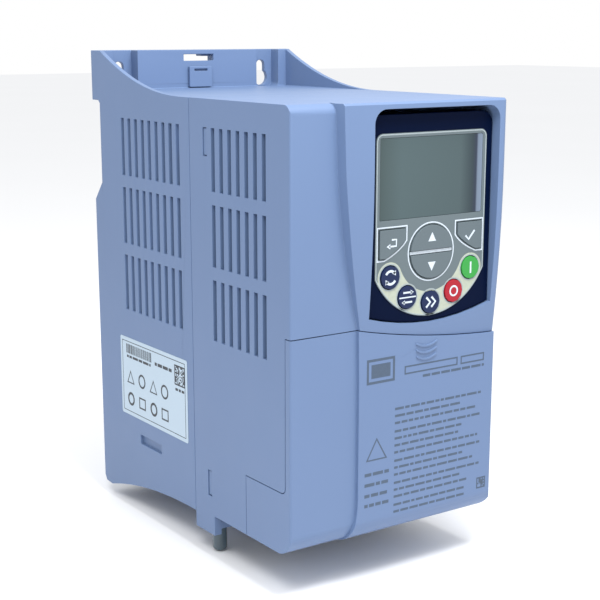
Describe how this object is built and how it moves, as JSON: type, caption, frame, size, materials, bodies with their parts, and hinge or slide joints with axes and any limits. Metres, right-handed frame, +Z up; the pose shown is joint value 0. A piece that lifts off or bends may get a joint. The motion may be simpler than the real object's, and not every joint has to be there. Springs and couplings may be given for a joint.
{
  "type": "variable frequency drive",
  "caption": "Wall or rail mounted variable frequency drive with vented two-part housing, unpluggable keypad, terminal cover, fan-cooled heatsink and rail lock.",
  "frame": {"origin": "centre of the back mounting face, which lies on the wall", "axes": "+X to the right seen from the front, +Y back into the wall, +Z up"},
  "size_m": [0.1001, 0.16, 0.2045],
  "materials": {
    "housing": "fine moulded texture",
    "navy": "satin",
    "membrane": "printed film",
    "glass": "clear window over a grey display",
    "grey_key": "satin",
    "navy_key": "satin",
    "red_key": "satin",
    "green_key": "satin",
    "label": "printed film",
    "dark_plastic": "moulded",
    "black_plastic": "moulded",
    "grey_plastic": "glossy cap",
    "green_plastic": "moulded",
    "aluminium": "extruded",
    "steel": "zinc plated",
    "board": "solder mask",
    "capacitor": "sleeved can",
    "ferrite": "coated core",
    "silicone": "translucent"
  },
  "bodies": {
    "drive": {"rear_housing": "housing", "front_housing": "housing", "fan_grille": "housing", "rating_label": "label", "power_module": "dark_plastic", "precharge_relay": "dark_plastic", "power_terminal_block": "dark_plastic", "io_module_case": "dark_plastic", "fan_frame": "black_plastic", "keypad_socket": "black_plastic", "earth_post": "grey_plastic", "io_terminal_strip": "green_plastic", "heatsink": "aluminium", "terminal_screw_1": "steel", "terminal_screw_2": "steel", "terminal_screw_3": "steel", "terminal_screw_4": "steel", "terminal_screw_5": "steel", "terminal_screw_6": "steel", "terminal_screw_7": "steel", "terminal_screw_8": "steel", "earth_bar": "steel", "earth_screw_1": "steel", "earth_screw_2": "steel", "board_spacer_1": "steel", "board_spacer_2": "steel", "board_spacer_3": "steel", "board_spacer_4": "steel", "board_screw_1": "steel", "board_screw_2": "steel", "board_screw_3": "steel", "board_screw_4": "steel", "power_board": "board", "control_board": "board", "io_module_board": "board", "dc_capacitor_1": "capacitor", "dc_capacitor_2": "capacitor", "dc_capacitor_3": "capacitor", "dc_capacitor_4": "capacitor", "filter_choke": "ferrite"},
    "fan_rotor": {"fan_rotor": "black_plastic"},
    "rail_lock": {"din_rail_lock": "housing"},
    "terminal_cover": {"terminal_cover": "housing"},
    "keypad": {"keypad_body": "navy", "keypad_back_cover": "navy", "keypad_membrane": "membrane", "lcd_window": "glass", "lcd_module": "dark_plastic", "keypad_board": "board", "keypad_mat": "silicone", "keypad_plug": "black_plastic"},
    "back_key": {"back_key": "grey_key"},
    "enter_key": {"enter_key": "grey_key"},
    "up_key": {"up_key": "grey_key"},
    "down_key": {"down_key": "grey_key"},
    "direction_key": {"direction_key": "navy_key"},
    "local_remote_key": {"local_remote_key": "navy_key"},
    "jog_key": {"jog_key": "navy_key"},
    "stop_key": {"stop_key": "red_key"},
    "start_key": {"start_key": "green_key"}
  },
  "joints": [
    {"name": "fan_spin", "type": "hinge", "parent": "drive", "child": "fan_rotor", "pos_m": [0, -0.0396, -0.0757], "axis": [0, 0, 1], "continuous": true},
    {"name": "rail_lock_slide", "type": "slide", "parent": "drive", "child": "rail_lock", "axis": [0, 0, 1], "range_m": [0, 0.003], "stiffness_N_per_m": 300},
    {"name": "cover_pull", "type": "slide", "parent": "drive", "child": "terminal_cover", "axis": [0, -1, 0], "range_m": [0, 0.06]},
    {"name": "keypad_unplug", "type": "slide", "parent": "drive", "child": "keypad", "axis": [0, -1, 0], "range_m": [0, 0.04]},
    {"name": "back_press", "type": "slide", "parent": "keypad", "child": "back_key", "axis": [0, 1, 0], "range_m": [0, 0.0006], "stiffness_N_per_m": 1200},
    {"name": "enter_press", "type": "slide", "parent": "keypad", "child": "enter_key", "axis": [0, 1, 0], "range_m": [0, 0.0006], "stiffness_N_per_m": 1200},
    {"name": "up_press", "type": "slide", "parent": "keypad", "child": "up_key", "axis": [0, 1, 0], "range_m": [0, 0.0006], "stiffness_N_per_m": 1200},
    {"name": "down_press", "type": "slide", "parent": "keypad", "child": "down_key", "axis": [0, 1, 0], "range_m": [0, 0.0006], "stiffness_N_per_m": 1200},
    {"name": "direction_press", "type": "slide", "parent": "keypad", "child": "direction_key", "axis": [0, 1, 0], "range_m": [0, 0.0006], "stiffness_N_per_m": 1200},
    {"name": "local_remote_press", "type": "slide", "parent": "keypad", "child": "local_remote_key", "axis": [0, 1, 0], "range_m": [0, 0.0006], "stiffness_N_per_m": 1200},
    {"name": "jog_press", "type": "slide", "parent": "keypad", "child": "jog_key", "axis": [0, 1, 0], "range_m": [0, 0.0006], "stiffness_N_per_m": 1200},
    {"name": "stop_press", "type": "slide", "parent": "keypad", "child": "stop_key", "axis": [0, 1, 0], "range_m": [0, 0.0006], "stiffness_N_per_m": 1200},
    {"name": "start_press", "type": "slide", "parent": "keypad", "child": "start_key", "axis": [0, 1, 0], "range_m": [0, 0.0006], "stiffness_N_per_m": 1200}
  ]
}
